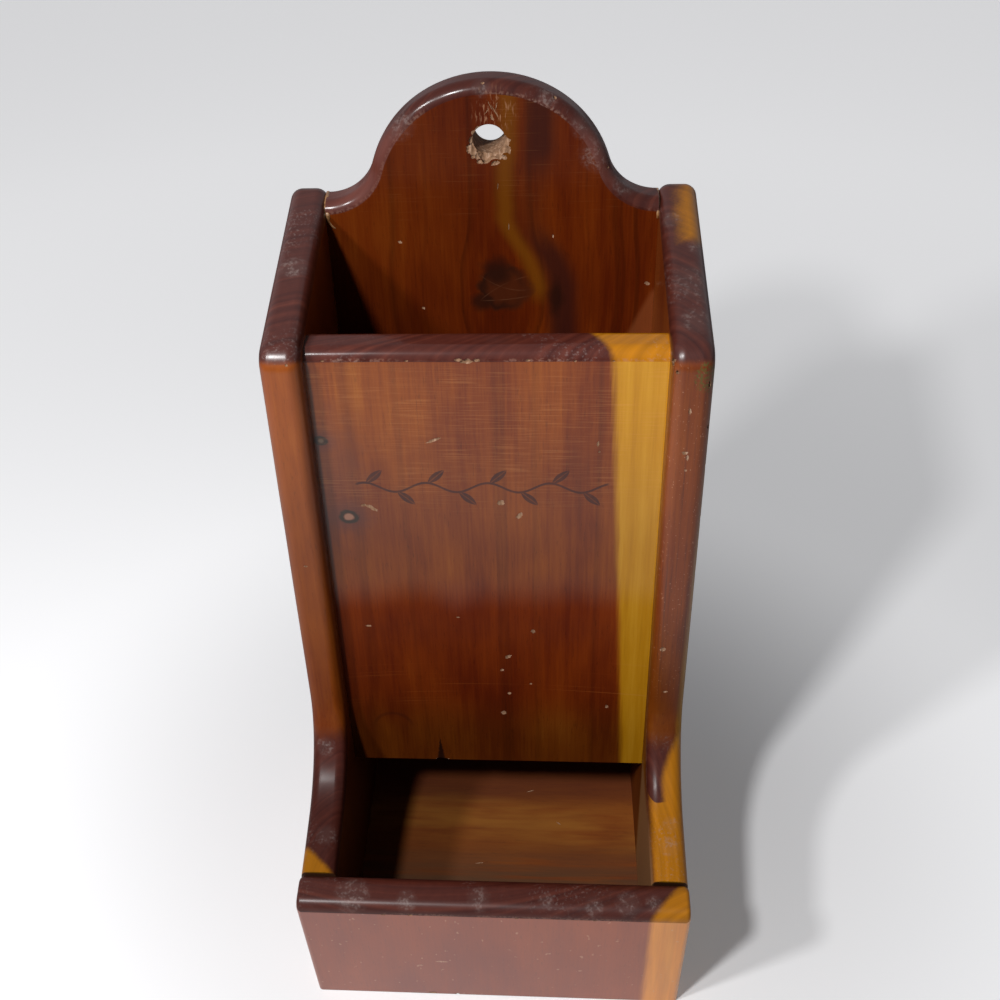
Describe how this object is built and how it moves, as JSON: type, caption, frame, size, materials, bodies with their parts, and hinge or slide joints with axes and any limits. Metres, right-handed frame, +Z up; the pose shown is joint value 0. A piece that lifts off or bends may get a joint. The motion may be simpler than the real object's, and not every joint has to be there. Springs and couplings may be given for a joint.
{
  "type": "wall match holder",
  "caption": "Varnished red cedar wall pocket for matches: a tall hopper with an arched, drilled back board over an open tray with a leaning lip.",
  "frame": {"origin": "on the surface that the holder stands on, under the middle of its width and depth", "axes": "+Z up; the front, with the tray lip, faces -Y; the flat back that lies on the wall faces +Y; +X is to the right seen from the front"},
  "size_m": [0.1016, 0.1046, 0.2338],
  "materials": {
    "back_cedar": "gloss varnished red cedar heartwood",
    "side_cedar": "gloss varnished red cedar, heartwood with some sapwood",
    "panel_cedar": "gloss varnished red cedar with a band of pale sapwood",
    "floor_cedar": "varnished red cedar, grain across",
    "lip_cedar": "varnished red cedar with a band of pale sapwood",
    "brad_steel": "dull steel wire"
  },
  "bodies": {
    "root": {"back_board": "back_cedar", "left_side": "side_cedar", "right_side": "side_cedar", "front_panel": "panel_cedar", "tray_floor": "floor_cedar", "tray_lip": "lip_cedar", "left_back_brad_1": "brad_steel", "left_back_brad_2": "brad_steel", "left_back_brad_3": "brad_steel", "left_panel_brad_1": "brad_steel", "left_panel_brad_2": "brad_steel", "left_floor_brad_1": "brad_steel", "left_floor_brad_2": "brad_steel", "right_back_brad_1": "brad_steel", "right_back_brad_2": "brad_steel", "right_back_brad_3": "brad_steel", "right_panel_brad_1": "brad_steel", "right_panel_brad_2": "brad_steel", "right_floor_brad_1": "brad_steel", "right_floor_brad_2": "brad_steel"}
  },
  "joints": []
}
